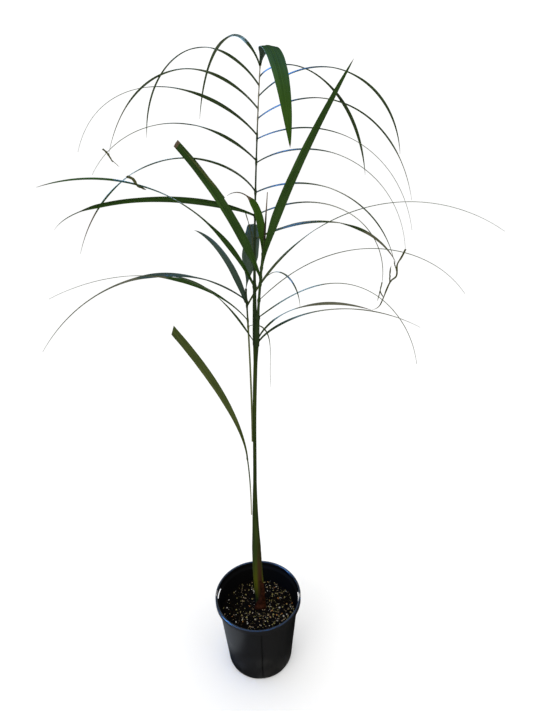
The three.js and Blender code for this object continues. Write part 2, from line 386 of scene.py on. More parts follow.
@dataclass(frozen=True)
class LeafSkin:
    """A leaflet's skin: long streaks, fine veins and a waxy shine."""

    name: str
    deep: Colour
    bright: Colour
    roughness: float = 0.32
    veins: float = 7.0
    shine: float = 0.32

    def material(self) -> bpy.types.Material:
        """Makes the material.

        Returns:
            The material.
        """
        recipe = Recipe(self.name)
        surface = recipe.surface()
        across = recipe.part(surface, "X")
        streaks = recipe.grain(recipe.stretched(surface, (11.0, 2.5, 1.0)), 1.0, 2.0, 0.5)
        patches = recipe.grain(recipe.place(), 16.0, 2.0)
        vein = across.wave(self.veins)
        light = streaks.rising(0.3, 0.75) * 0.6 + patches.rising(0.35, 0.7) * 0.28 + vein * 0.12
        colour = recipe.blend(light, self.deep, self.bright)
        recipe.bump(vein * 0.55 + streaks * 0.45, 0.0003, 0.2)
        rough = self.roughness + (patches - 0.5) * 0.14
        return recipe.finish(base_color=colour, roughness=rough, specular_ior_level=self.shine)


@dataclass(frozen=True)
class StemSkin:
    """The stem's skin: green, yellow-green near its foot, with a red-brown streak on its right.

    Its foot and top are the heights, in metres, between which its colours are shared out. Low on
    its foot it takes painted shade in its deep colour.
    """

    name: str = "stem_skin"
    # The deep colour is the fibres' dark tone and also the colour of the painted shade at the foot.
    deep: Colour = (0.010, 0.020, 0.004)
    green: Colour = (0.031, 0.048, 0.006)
    yellow: Colour = (0.078, 0.082, 0.0015)
    russet: Colour = (0.040, 0.016, 0.007)
    foot: float = 0.150
    top: float = 0.836

    def material(self) -> bpy.types.Material:
        """Makes the material.

        Returns:
            The material.
        """
        recipe = Recipe(self.name)
        place = recipe.place()
        height = recipe.part(place, "Z")
        around = recipe.part(recipe.surface(), "X")
        fibres = recipe.grain(recipe.stretched(place, (520.0, 520.0, 14.0)), 1.0, 4.0, 0.6)
        patches = recipe.grain(recipe.stretched(place, (60.0, 60.0, 12.0)), 1.0, 3.0)
        share = (height - self.foot) / (self.top - self.foot)
        light = fibres.rising(0.3, 0.7) * 0.6 + patches.rising(0.35, 0.7) * 0.4
        body = recipe.blend(light, self.deep, self.green)
        low = share.rising(0.26, 0.08) * share.rising(0.01, 0.07)
        body = recipe.blend(low * (0.45 + patches * 0.5), body, self.yellow)
        # Painted shade: the foot, by the mix, darkens to the deep colour.
        body = recipe.blend(share.rising(0.14, 0.02) * 0.85, body, self.deep)
        lean = around + (0.22 - share) * 0.35 + (patches - 0.5) * 0.05
        side = lean.rising(0.49, 0.55) * lean.rising(0.72, 0.67)
        streak = side * share.rising(0.36, 0.16) * (fibres * 0.8 + patches * 0.4).rising(0.38, 0.66)
        colour = recipe.blend(streak, body, self.russet)
        recipe.bump(fibres, 0.0006, 0.5)
        rough = 0.42 + (patches - 0.5) * 0.2 + streak * 0.15
        return recipe.finish(base_color=colour, roughness=rough, specular_ior_level=0.06)


@dataclass(frozen=True)
class RibSkin:
    """A rib's skin: its low colour turns to its high one between two heights in metres."""

    name: str
    low: Colour
    high: Colour
    turn_from: float
    turn_to: float
    shaded: Colour = (0.005, 0.008, 0.004)

    def material(self) -> bpy.types.Material:
        """Makes the material.

        Returns:
            The material.
        """
        recipe = Recipe(self.name)
        place = recipe.place()
        fibres = recipe.grain(recipe.stretched(place, (700.0, 700.0, 22.0)), 1.0, 4.0, 0.6)
        height = recipe.part(place, "Z") + (fibres - 0.5) * 0.04
        body = recipe.blend(height.rising(self.turn_from, self.turn_to), self.low, self.high)
        shade = recipe.blend(0.5, body, self.shaded)
        colour = recipe.blend(fibres.rising(0.62, 0.35) * 0.6, body, shade)
        recipe.bump(fibres, 0.0004, 0.4)
        rough = 0.5 + (fibres - 0.5) * 0.2
        return recipe.finish(base_color=colour, roughness=rough, specular_ior_level=0.15)


class Tint(Enum):
    """The plain colours dealt out to the leaflets, with the number of each in its piece."""

    DEEP = 0
    FRESH = 1
    OLIVE = 2
    SLATE = 3
    DRY = 4
    STALK = 5
    STRAW = 6
    DUSKY = 7


# Each skin's deep and bright colour, then its roughness, its veins from edge to edge and its shine.
LEAF_SKINS: dict[Tint, LeafSkin] = {
    Tint.DEEP: LeafSkin("leaf_deep", (0.012, 0.032, 0.004), (0.032, 0.080, 0.009)),
    Tint.FRESH: LeafSkin(
        "leaf_fresh", (0.018, 0.048, 0.005), (0.037, 0.084, 0.010), 0.6, 5.0, 0.015
    ),
    Tint.OLIVE: LeafSkin("leaf_olive", (0.030, 0.046, 0.008), (0.072, 0.090, 0.018)),
    Tint.SLATE: LeafSkin(
        "leaf_slate", (0.020, 0.038, 0.024), (0.058, 0.086, 0.060), 0.5, 9.0, 0.06
    ),
    Tint.DRY: LeafSkin("leaf_dry", (0.060, 0.038, 0.022), (0.150, 0.105, 0.062), 0.7, 9.0, 0.2),
    Tint.STALK: LeafSkin("leaf_stalk", (0.010, 0.017, 0.005), (0.024, 0.034, 0.010), 0.5, 5.0, 0.3),
    Tint.STRAW: LeafSkin(
        "leaf_straw", (0.060, 0.062, 0.032), (0.150, 0.145, 0.090), 0.6, 9.0, 0.06
    ),
    Tint.DUSKY: LeafSkin("leaf_dusky", (0.018, 0.034, 0.008), (0.042, 0.070, 0.017), 0.3, 5.0, 0.5),
}


# Centre lines


class Run:
    """A centre line in millimetres, read by its share of length or by height."""

    def __init__(self, points: Sequence[Vector]) -> None:
        """Measures the line.

        Args:
            points: Closely spaced points on it, in order.
        """
        self.points = list(points)
        self.lengths = [0.0]
        for first, second in zip(self.points, self.points[1:]):
            self.lengths.append(self.lengths[-1] + (second - first).length)

    def at(self, share: float) -> Vector:
        """The point at a share of the length.

        Args:
            share: The share, which is held between 0 and 1.

        Returns:
            The point.
        """
        wanted = min(1.0, max(0.0, share)) * self.lengths[-1]
        for k in range(1, len(self.lengths)):
            if self.lengths[k] >= wanted:
                step = self.lengths[k] - self.lengths[k - 1]
                past = (wanted - self.lengths[k - 1]) / max(step, 1e-9)
                return self.points[k - 1].lerp(self.points[k], past)
        return self.points[-1].copy()

    def along(self, share: float) -> Vector:
        """The direction at a share of the length."""
        return (self.at(share + 0.004) - self.at(share - 0.004)).normalized()

    def at_height(self, height: float) -> Vector:
        """The point of a rising line at a height.

        Args:
            height: The height.

        Returns:
            The point, or the line's end where the line stays below the height.
        """
        for first, second in zip(self.points, self.points[1:]):
            if second.z >= height:
                return first.lerp(second, (height - first.z) / (second.z - first.z))
        return self.points[-1].copy()


def bow(foot: Point, towards: Point, tip: Point) -> Run:
    """A line from foot to tip, drawn towards a third point.

    Args:
        foot: The first point.
        towards: The point it is drawn towards.
        tip: The last point.

    Returns:
        The line.
    """
    steps = 120
    points = []
    for k in range(steps + 1):
        share = k / steps
        first = Vector(foot).lerp(Vector(towards), share)
        second = Vector(towards).lerp(Vector(tip), share)
        points.append(first.lerp(second, share))
    return Run(points)


def smooth_line(knots: Sequence[Point]) -> Run:
    """A centripetal curve through all of its knots.

    Args:
        knots: The points that it passes through.

    Returns:
        The line.
    """
    places = [Vector(knot) for knot in knots]
    places = [places[0] * 2 - places[1], *places, places[-1] * 2 - places[-2]]
    steps = 24
    points = [places[1]]
    for a, b, c, d in zip(places, places[1:], places[2:], places[3:]):
        before, here, after = ((q - p).length ** 0.5 for p, q in ((a, b), (b, c), (c, d)))
        leaving = ((b - a) / before - (c - a) / (before + here) + (c - b) / here) * here
        arriving = ((c - b) / here - (d - b) / (here + after) + (d - c) / after) * here
        for k in range(1, steps + 1):
            t = k / steps
            cubic = (b - c) * 2 + leaving + arriving
            square = (c - b) * 3 - leaving * 2 - arriving
            points.append(b + leaving * t + square * t**2 + cubic * t**3)
    return Run(points)


# Meshes


class Form:
    """A mesh in the making, with the UV map that its patterns follow."""

    def __init__(self) -> None:
        """Starts an empty mesh."""
        self.mesh = bmesh.new()
        self.uv = self.mesh.loops.layers.uv.new(UV_NAME)

    def laid(
        self, columns: int, rows: int, place: Callable[[float, float], Vector]
    ) -> list[bmesh.types.BMFace]:
        """Lays a grid of faces so that each corner goes where the rule says.

        Args:
            columns: Faces across.
            rows: Faces along.
            place: Gives the place in millimetres from the shares across and along.

        Returns:
            The new faces.
        """
        corners = bmesh.ops.create_grid(
            self.mesh, x_segments=columns, y_segments=rows, size=0.5, calc_uvs=True
        )["verts"]
        for corner in corners:
            corner.co = place(corner.co.x + 0.5, corner.co.y + 0.5) * MM
        return list({face for corner in corners for face in corner.link_faces})

    def tube(
        self, run: Run, radius: Callable[[float, float], float], sides: int, steps: int
    ) -> None:
        """Wraps a grid round a line, closed at its seam and its level ends.

        Args:
            run: The centre line.
            radius: Gives the radius in millimetres from the shares round and along. The share
                round goes from the back to the left, the front and the right.
            sides: Faces round.
            steps: Faces along, with the two end caps.
        """
        rings = []
        for k in range(steps + 1):
            share = min(1.0, max(0.0, (k - 1) / (steps - 2)))
            along = Vector((0, 0, 1)) if share in (0.0, 1.0) else run.along(share)
            through = Vector((1, 0, 0)).cross(along).normalized()
            rings.append((share, run.at(share), along.cross(through), through, k in (0, steps)))

        def corner(around: float, up: float) -> Vector:
            """The place of one corner of the tube.

            Args:
                around: Its share of the way round.
                up: Its share of the steps.

            Returns:
                The place, in millimetres.
            """
            share, centre, across, through, shut = rings[round(up * steps)]
            if shut:
                return centre
            angle = -math.pi / 2 - math.tau * around
            wide = radius(around % 1.0, share)
            return centre + (across * math.cos(angle) + through * math.sin(angle)) * wide

        faces = self.laid(sides, steps, corner)
        corners = list({vertex for face in faces for vertex in face.verts})
        bmesh.ops.remove_doubles(self.mesh, verts=corners, dist=1e-7)

    def turned(self, outline: Pairs, segments: int) -> None:
        """Spins an outline once round the upright axis.

        Args:
            outline: The radius and height of each of its points, in millimetres.
            segments: Faces round.
        """
        points = [self.mesh.verts.new((away * MM, 0.0, up * MM)) for away, up in outline]
        edges = [self.mesh.edges.new(pair) for pair in zip(points, points[1:])]
        bmesh.ops.spin(
            self.mesh,
            geom=[*points, *edges],
            cent=(0, 0, 0),
            axis=(0, 0, 1),
            angle=math.tau,
            steps=segments,
            use_merge=True,
        )
        bmesh.ops.remove_doubles(self.mesh, verts=self.mesh.verts[:], dist=1e-6)
        bmesh.ops.recalc_face_normals(self.mesh, faces=self.mesh.faces[:])

    def lump(self, centre: Vector, size: Vector, turn: Quaternion, tint: int) -> None:
        """Adds one crumb of twenty faces.

        Args:
            centre: Its middle, in millimetres.
            size: Half its size along its own three axes, in millimetres.
            turn: How it lies.
            tint: The number of its material in the piece.
        """
        corners = bmesh.ops.create_icosphere(
            self.mesh,
            subdivisions=1,
            radius=1.0,
            matrix=Matrix.LocRotScale(centre * MM, turn, size * MM),
            calc_uvs=True,
        )["verts"]
        for vertex in corners:
            for face in vertex.link_faces:
                face.material_index = tint

    def placed(self, name: str) -> bpy.types.Object:
        """Makes an object of the mesh at the scene's origin, and lets the mesh go.

        Args:
            name: The object's name.

        Returns:
            The object.
        """
        data = bpy.data.meshes.new(name)
        self.mesh.to_mesh(data)
        self.mesh.free()
        made = bpy.data.objects.new(name, data)
        bpy.context.scene.collection.objects.link(made)
        return made

    def piece(
        self,
        name: str,
        materials: Sequence[bpy.types.Material],
        node: str,
        crease: float,
    ) -> bpy.types.Object:
        """Makes the finished piece, which rides on the body in place of a node.

        Args:
            name: The piece's name.
            materials: Its materials, in order.
            node: The node that it stands for.
            crease: The angle in degrees past which an edge stays sharp.

        Returns:
            The piece.
        """
        self.mesh.normal_update()
        made = self.placed(name)
        for material in materials:
            made.data.materials.append(material)
        made.data.shade_smooth()
        made.data.set_sharp_from_angle(angle=math.radians(crease))
        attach(made, BODY)
        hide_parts(node)
        LOG.info("%s: %d faces", name, len(made.data.polygons))
        return made


# Pot and potting mix


@dataclass
class NurseryPot:
    """The pot: a tub with a deep lip, a mould seam at front and back, and low drain arches."""

    height: float = 197.0
    rim_radius: float = 100.0
    lip_height: float = 13.0
    lip_thickness: float = 3.2
    lip_rounding: float = 1.4
    shoulder_radius: float = 93.0
    shoulder_drop: float = 3.0
    foot_radius: float = 77.4
    foot_rounding: float = 5.0
    foot_flat: float = 72.0
    wall: float = 2.2
    floor: float = 2.6
    segments: int = 360
    crease: float = 32.0
    # The painted shade inside the pot starts this far below its top, in millimetres.
    shaded_inside_below: float = 4.0
    seam_depth: float = 0.7
    seam_width: float = 1.2
    seam_waver: float = 0.12
    slot_angles: tuple[float, ...] = (-1.0, 171.0)
    slot_turn: float = 18.0
    slot_width: float = 2.2
    slot_tall: float = 16.0
    slot_height: float = 183.0
    slot_from_centre: float = 94.9
    arches: int = 8
    arch_width: float = 26.0
    arch_height: float = 4.5
    arch_depth: float = 16.0
    arch_from_centre: float = 79.0

    def outline(self) -> list[tuple[float, float]]:
        """The wall's outline, from the middle of the underside round the lip to the inside floor.

        Returns:
            The radius and height of each of its points, in millimetres.
        """
        lip_foot = self.height - self.lip_height
        shoulder = lip_foot - self.shoulder_drop
        inside = self.rim_radius - self.lip_thickness - self.lip_rounding
        points = [(0.0, 0.0), (self.foot_flat * 0.5, 0.0), (self.foot_flat, 0.0)]
        points += [(self.foot_flat + 2.2, 0.5), (self.foot_flat + 4.0, 2.1)]
        points += [(self.foot_radius - 0.4, 3.6)]
        rises = 22
        for k in range(rises + 1):
            share = k / rises
            radius = mixed(self.foot_radius, self.shoulder_radius, share)
            points.append((radius, mixed(self.foot_rounding, shoulder, share)))
        points += [(self.shoulder_radius + 1.6, shoulder + 1.0)]
        points += [(self.rim_radius - 2.4, lip_foot - 0.6)]
        points += self._rounded(self.rim_radius, lip_foot, 1, -1)
        points += self._rounded(self.rim_radius, self.height, 1, 1)
        points += self._rounded(inside, self.height, -1, 1)
        points += [(inside, lip_foot + self.lip_rounding)]
        points += [(self.shoulder_radius - self.wall, shoulder)]
        points += [(self.foot_radius - self.wall, self.floor + 2.0)]
        points += [(self.foot_radius - 4.2, self.floor)]
        return [*points, (0.0, self.floor)]

    def _rounded(
        self, radius: float, height: float, out: int, up: int
    ) -> list[tuple[float, float]]:
        """A rounded corner of the lip, in the order that the outline passes it.

        Args:
            radius: The radius of the sharp corner.
            height: Its height.
            out: 1 where it points outwards, or -1.
            up: 1 where it points upwards, or -1.

        Returns:
            The corner's points.
        """
        steps = 6
        turn = self.lip_rounding
        points = []
        for k in range(steps + 1):
            angle = math.pi / 2 * k / steps
            points.append((
                radius - out * turn * (1 - math.sin(angle)),
                height - up * turn * (1 - math.cos(angle)),
            ))
        return points if up != out else points[::-1]

    def _cutter(self) -> bpy.types.Object:
        """Makes level cylinders for the arches and bent bars for the slots under the lip.

        Returns:
            The object that cuts them.
        """
        form = Form()
        radius = ((self.arch_width / 2) ** 2 + self.arch_height**2) / (2 * self.arch_height)
        for k in range(self.arches):
            lie = Matrix.Rotation(math.tau * k / self.arches, 4, "Z")
            middle = Vector((self.arch_from_centre, 0, self.arch_height - radius))
            lie @= Matrix.Translation(middle * MM)
            lie @= Matrix.Rotation(math.pi / 2, 4, "Y")
            bmesh.ops.create_cone(
                form.mesh,
                cap_ends=True,
                segments=96,
                radius1=radius * MM,
                radius2=radius * MM,
                depth=self.arch_depth * MM,
                matrix=lie,
            )
        for angle in self.slot_angles:
            lie = Matrix.Rotation(math.radians(angle - self.slot_turn / 2), 4, "Z")
            middle = Vector((self.slot_from_centre, 0, self.slot_height))
            lie @= Matrix.Translation(middle * MM)
            section = Matrix.Diagonal((self.slot_width * MM, self.slot_tall * MM, 1.0, 1.0))
            lie @= Matrix.Rotation(math.pi / 2, 4, "X") @ section
            end = bmesh.ops.create_grid(
                form.mesh, x_segments=1, y_segments=1, size=0.5, matrix=lie
            )["verts"]
            bmesh.ops.spin(
                form.mesh,
                geom=list({face for vertex in end for face in vertex.link_faces}),
                cent=(0, 0, 0),
                axis=(0, 0, 1),
                angle=math.radians(self.slot_turn),
                steps=8,
                use_duplicate=False,
            )
        bmesh.ops.recalc_face_normals(form.mesh, faces=form.mesh.faces[:])
        return form.placed("arch_cutter")

    def _seams(self, form: Form) -> None:
        """Draws the two mould seams as fine grooves down the outer wall.

        Args:
            form: The spun pot.
        """
        shoulder = self.height - self.lip_height - self.shoulder_drop
        for vertex in form.mesh.verts:
            out = math.hypot(vertex.co.x, vertex.co.y) / MM
            up = vertex.co.z / MM
            if out < self.foot_radius - 1.0 or not 1.0 < up < shoulder:
                continue
            risen = (up - self.foot_rounding) / (shoulder - self.foot_rounding)
            if out < mixed(self.foot_radius, self.shoulder_radius, risen) - 1.0:
                continue
            beside = (vertex.co.x * ACROSS_SEAM[0] + vertex.co.y * ACROSS_SEAM[1]) / MM
            groove = self.seam_depth * math.exp(-((beside / self.seam_width) ** 2))
            waver = bump_at(vertex.co.x * 30, vertex.co.y * 30, vertex.co.z * 9)
            waver *= self.seam_waver
            share = 1.0 + (waver - groove) / out
            vertex.co.x *= share
            vertex.co.y *= share

    def build(self) -> None:
        """Builds the pot."""
        form = Form()
        form.turned(self.outline(), self.segments)
        self._seams(form)
        # Painted shade: the inner faces below the lip's top take a darker copy of the plastic,
        # which is also rougher and less shiny.
        for face in form.mesh.faces:
            middle = face.calc_center_median()
            inwards = face.normal.x * middle.x + face.normal.y * middle.y < 0
            low = middle.z < (self.height - self.shaded_inside_below) * MM
            face.material_index = int(inwards and low)
        dull_shaded_inside = SatinPlastic(
            "dull_shaded_black_inside", (0.004, 0.004, 0.004), roughness=0.8, shine=0.01, worn_spots=()
        )
        skins = [SatinPlastic().material(), dull_shaded_inside.material()]
        pot = form.piece("nursery_pot", skins, "pot", crease=self.crease)
        cutter = self._cutter()
        cut = pot.modifiers.new("arches", "BOOLEAN")
        cut.operation = "DIFFERENCE"
        cut.solver = "EXACT"
        cut.object = cutter
        graph = bpy.context.evaluated_depsgraph_get()
        whole = pot.data
        pot.data = bpy.data.meshes.new_from_object(pot.evaluated_get(graph), depsgraph=graph)
        pot.modifiers.clear()
        pot.data.set_sharp_from_angle(angle=math.radians(self.crease))
        bpy.data.objects.remove(cutter)
        bpy.data.meshes.remove(whole)
        pot.data.name = "nursery_pot"


class Grit(Enum):
    """The colours of the loose grains, with the number of each in its piece."""

    WHITE = 0
    BEIGE = 1
    STRAW = 2
    ORANGE = 3


GRIT_SKINS: dict[Grit, Crumbs] = {
    Grit.WHITE: Crumbs("grit_white", (0.34, 0.33, 0.28), (0.62, 0.60, 0.54), 0.8, 900.0),
    Grit.BEIGE: Crumbs("grit_beige", (0.17, 0.12, 0.07), (0.38, 0.29, 0.18), 0.85, 900.0),
    Grit.STRAW: Crumbs("grit_straw", (0.15, 0.13, 0.045), (0.34, 0.30, 0.12), 0.8, 900.0),
    Grit.ORANGE: Crumbs("grit_orange", (0.30, 0.12, 0.035), (0.48, 0.24, 0.08), 0.85, 900.0),
}

# How many grains in a hundred are of each colour.
GRIT_SHARES: dict[Grit, int] = {Grit.WHITE: 20, Grit.BEIGE: 36, Grit.STRAW: 40, Grit.ORANGE: 4}


@dataclass
class MixBed:
    """The potting mix: a lumpy bed, dark bark chips and pale grains on it."""

    top: float = 150.0
    flat_radius: float = 30.0
    edge_drop: float = 4.0
    seat: float = 2.9
    foot_radius: float = 75.2
    edge_radius: float = 87.9
    inset: float = 0.3
    lumps_from: tuple[float, float] = (9.0, 16.0)
    stem_foot: tuple[float, float] = (5.0, 12.0)
    chips: int = 1100
    chips_off_stem: float = 14.0
    grains: int = 1000
    grains_off_stem: float = 15.0
    seed: int = 41

    def level(self, x: float, y: float) -> float:
        """The bed's height at a place.

        Args:
            x: The place to the right, in millimetres.
            y: The place to the back, in millimetres.

        Returns:
            The height, in millimetres.
        """
        away = math.hypot(x, y)
        past = max(0.0, away - self.flat_radius)
        fall = self.edge_drop * past / (self.edge_radius - self.flat_radius)
        lumps = 0.9 * bump_at(x / 14, y / 14, 1.0) + 0.8 * bump_at(x / 4.5, y / 4.5, 5.0)
        lumps += 0.5 * bump_at(x / 1.9, y / 1.9, 9.0)
        return self.top - fall + lumps * eased(away, *self.lumps_from) - self.inset

    def _bed(self) -> None:
        """Builds the bed with its relief."""
        edge = self.top - self.edge_drop
        rings = 66
        outline = [(0.0, self.seat), (self.foot_radius - 2.4, self.seat)]
        outline += [(self.foot_radius - 0.4, self.seat + 2)]
        for k in range(rings + 1):
            share = 1 - k / rings
            outline.append((self.edge_radius * share, edge if k == 0 else self.top))
        form = Form()
        form.turned(outline, segments=180)
        for vertex in form.mesh.verts:
            if vertex.co.z > (edge - 1.0) * MM:
                vertex.co.z = self.level(vertex.co.x / MM, vertex.co.y / MM) * MM
        soil = Crumbs("dark_mix", (0.001, 0.001, 0.001), (0.005, 0.004, 0.003), 0.95, 420.0, 0.0012)
        form.piece("mix_bed", [soil.material()], "potting_mix", crease=80.0)

    def _scattered(self, dice: random.Random, reach: float) -> Vector:
        """A place on the bed.

        Args:
            dice: Draws it.
            reach: How far from the middle it may lie, in millimetres.

        Returns:
            The place, in millimetres.
        """
        away = reach * math.sqrt(dice.random())
        turn = dice.uniform(0, math.tau)
        x, y = away * math.cos(turn), away * math.sin(turn)
        return Vector((x, y, self.level(x, y)))

    def _by_stem(self, spot: Vector, reach: float) -> bool:
        """Whether a place lies within reach of the stem's foot."""
        return math.hypot(spot.x - self.stem_foot[0], spot.y - self.stem_foot[1]) < reach

    def _chips(self, dice: random.Random) -> None:
        """Scatters flat dark chips.

        Args:
            dice: Draws their places and sizes.
        """
        form = Form()
        for _ in range(self.chips):
            spot = self._scattered(dice, self.edge_radius - 4.0)
            if self._by_stem(spot, self.chips_off_stem):
                continue
            long = dice.uniform(1.6, 5.2)
            size = Vector((long, long * dice.uniform(0.3, 0.6), long * dice.uniform(0.14, 0.3)))
            axis = (dice.uniform(-1, 1), dice.uniform(-1, 1), 0.01)
            lean = Quaternion(axis, dice.uniform(0, 0.55))
            turn = Quaternion((0, 0, 1), dice.uniform(0, math.tau)) @ lean
            form.lump(spot + Vector((0, 0, size.z * 0.4)), size, turn, dice.choice((0, 0, 1)))
        dark = Crumbs("bark_black", (0.001, 0.001, 0.001), (0.006, 0.005, 0.004), 0.85, 700.0)
        brown = Crumbs("bark_brown", (0.003, 0.002, 0.001), (0.014, 0.009, 0.005), 0.85, 700.0)
        skins = [dark.material(), brown.material()]
        form.piece("bark_chips", skins, "potting_mix", crease=20.0)

    def _grains(self, dice: random.Random) -> None:
        """Scatters pale grains, thicker to the right and the front.

        Args:
            dice: Draws their places, sizes and colours.
        """
        form = Form()
        kinds = [grit for grit, share in GRIT_SHARES.items() for _ in range(share)]
        laid = 0
        while laid < self.grains:
            spot = self._scattered(dice, self.edge_radius - 3.0)
            if self._by_stem(spot, self.grains_off_stem):
                continue
            lean_right = 0.5 + 0.36 * spot.x / 90 - 0.22 * spot.y / 90
            if dice.random() > lean_right:
                continue
            long = 0.4 + 2.5 * dice.random() ** 2.5
            size = Vector((long, long * dice.uniform(0.4, 0.9), long * dice.uniform(0.35, 0.8)))
            axis = (dice.uniform(-1, 1), dice.uniform(-1, 1), dice.uniform(-1, 1))
            turn = Quaternion(axis, dice.uniform(0, 3))
            form.lump(spot + Vector((0, 0, size.z * 0.45)), size, turn, dice.choice(kinds).value)
            laid += 1
        skins = [GRIT_SKINS[grit].material() for grit in Grit]
        form.piece("pale_grains", skins, "potting_mix", crease=50.0)

    def build(self) -> None:
        """Builds the bed and all that lies on it."""
        dice = random.Random(self.seed)
        self._bed()
        self._chips(dice)
        self._grains(dice)


# Stem


@dataclass
class SheathedStem:
    """The stem: leaf sheaths wrapped round each other, from the mix to the fork."""

    knots: tuple[Point, ...] = (
        (5, 12, 150.3),
        (1.6, 9.5, 235),
        (0.8, 8, 310),
        (2.2, 6, 450),
        (5.5, 4.5, 560),
        (10.3, 2, 708),
        (17.2, -1.5, 835.5),
    )
    radii: tuple[tuple[float, float], ...] = (
        (150.3, 12.4), (170, 11.6), (260, 10.4), (330, 9.2), (400, 7.4), (470, 5.4),
        (520, 4.1), (640, 3.8), (740, 4.1), (800, 4.0), (835.5, 5.5),
    )
    swelling: float = 0.9
    inset: float = 0.25
    ribs: int = 17
    rib_height: float = 0.16
    fibre_height: float = 0.22
    scars: tuple[float, ...] = (163.0, 181.0, 205.0)
    scar_tilt: float = 5.0
    scar_depth: float = 0.55
    scar_ridge: float = 0.25
    margins: tuple[tuple[float, float, float], ...] = (
        (0.42, 150, 330), (0.66, 230, 470), (0.30, 330, 600),
    )
    margin_step: float = 0.5

    def _relief(self, around: float, height: float) -> float:
        """How far the surface stands out: ribs, fibres, old leaf scars and sheath margins.

        Args:
            around: The share of the way round.
            height: The height, in millimetres.

        Returns:
            The distance, in millimetres.
        """
        slim = between(self.radii, height) / 12.0
        ribs = self.rib_height * math.cos(math.tau * (around * self.ribs + height / 900))
        fibre = self.fibre_height * bump_at(around * 16, height / 46, 3.0)
        out = (ribs + fibre) * slim
        for scar in self.scars:
            tilt = scar + self.scar_tilt * math.sin(math.tau * around + scar)
            out -= self.scar_depth * math.exp(-(((height - tilt) / 1.3) ** 2))
            out += self.scar_ridge * math.exp(-(((height - tilt - 3.0) / 2.4) ** 2))
        for start, low, high in self.margins:
            share = (height - low) / (high - low)
            if 0.0 < share < 1.0:
                edge = (start + 0.24 * share) % 1.0
                past = (around - edge + 0.5) % 1.0 - 0.5
                step = self.margin_step * math.exp(-((past / 0.035) ** 2))
                step *= 1 if past > 0 else -0.4
                out += step * slim * math.sin(math.pi * share)
        return out

    def build(self) -> None:
        """Builds the stem."""
        run = smooth_line(self.knots)

        def radius(around: float, share: float) -> float:
            """The stem's radius with its relief.

            Args:
                around: The share of the way round.
                share: The share of the way up.

            Returns:
                The radius, in millimetres.
            """
            height = run.at(share).z
            swollen = self.swelling * eased(height, 168, 205) * eased(height, 405, 330)
            full = between(self.radii, height) + swollen
            ends = eased(share, 0.0, 0.01) * eased(share, 1.0, 0.99)
            return full - self.inset + self._relief(around, height) * ends

        form = Form()
        form.tube(run, radius, sides=56, steps=380)
        form.piece("stem_sheaths", [StemSkin().material()], "stem", crease=60.0)


# Fronds


@dataclass(frozen=True)
class Leaflet:
    """One drooping strap. Lengths are in millimetres and angles in degrees.

    It leaves its foot `rise` degrees above level and ends at `fall`. A small `bend` turns it early
    and a large one late. `swing` curves it sideways, and `rolls` tip its face at its root, middle
    and outer part. Its width grows from the root's share of it up to the full width at `full_at`,
    and narrows to the tip's share. A `blunt` one keeps its width up to its end, and `slant` cuts
    that end aslant. It is folded by `cup` at its root and by `fold` further out. It is `tint` on
    its upper face and `under` on the other. Its last `dry` share is dead, and past `pale_from` it
    has withered to the `slim` share of its width and to its `outer` tint. A leaflet without a
    foot's height goes on from the last one's tip.
    """

    foot: Optional[float]
    heading: float
    rise: float
    fall: float
    bend: float
    length: float
    width: float
    rolls: tuple[float, float, float] = (0.0, 0.0, 0.0)
    swing: float = 0.0
    root: float = 0.42
    full_at: float = 0.3
    tip: float = 0.08
    tint: Tint = Tint.DUSKY
    under: Tint = Tint.DUSKY
    dry: float = 0.03
    fold: float = 9.0
    pleats: int = 3
    blunt: bool = False
    pale_from: float = 1.0
    slim: float = 0.4
    outer: Tint = Tint.STRAW
    slant: float = 0.0
    cup: float = 44.0

    def pitch(self, share: float) -> float:
        """The angle above level at a share of the length, in radians."""
        return math.radians(self.rise + (self.fall - self.rise) * share**self.bend)

    def turn(self, share: float) -> float:
        """The heading at a share of the length, in radians."""
        return math.radians(self.heading + self.swing * share)

    def along(self, share: float) -> Vector:
        """The direction at a share of the length.

        Args:
            share: The share.

        Returns:
            The direction, one unit long.
        """
        pitch = self.pitch(share)
        turn = self.turn(share)
        level = math.cos(pitch)
        return Vector((level * math.cos(turn), level * math.sin(turn), math.sin(pitch)))

    def roll(self, share: float) -> float:
        """How far the face is tipped at a share of the length.

        Args:
            share: The share.

        Returns:
            The angle, in degrees.
        """
        root, middle, outer = self.rolls
        inwards = root + (middle - root) * eased(share, 0.08, 0.42)
        return inwards + (outer - middle) * eased(share, 0.42, 0.75)

    def wide(self, share: float) -> float:
        """The width at a share of the length.

        Args:
            share: The share.

        Returns:
            The width, in millimetres.
        """
        opened = self.root + (1 - self.root) * eased(share, 0.0, self.full_at)
        narrowed = 1 - (1 - self.tip) * share**3
        point = 1.0 if self.blunt else math.sqrt(max(0.0, 1 - share**18))
        withered = mixed(1.0, self.slim, eased(share, self.pale_from - 0.07, self.pale_from + 0.07))
        return self.width * opened * narrowed * point * (withered if self.pale_from < 1 else 1.0)


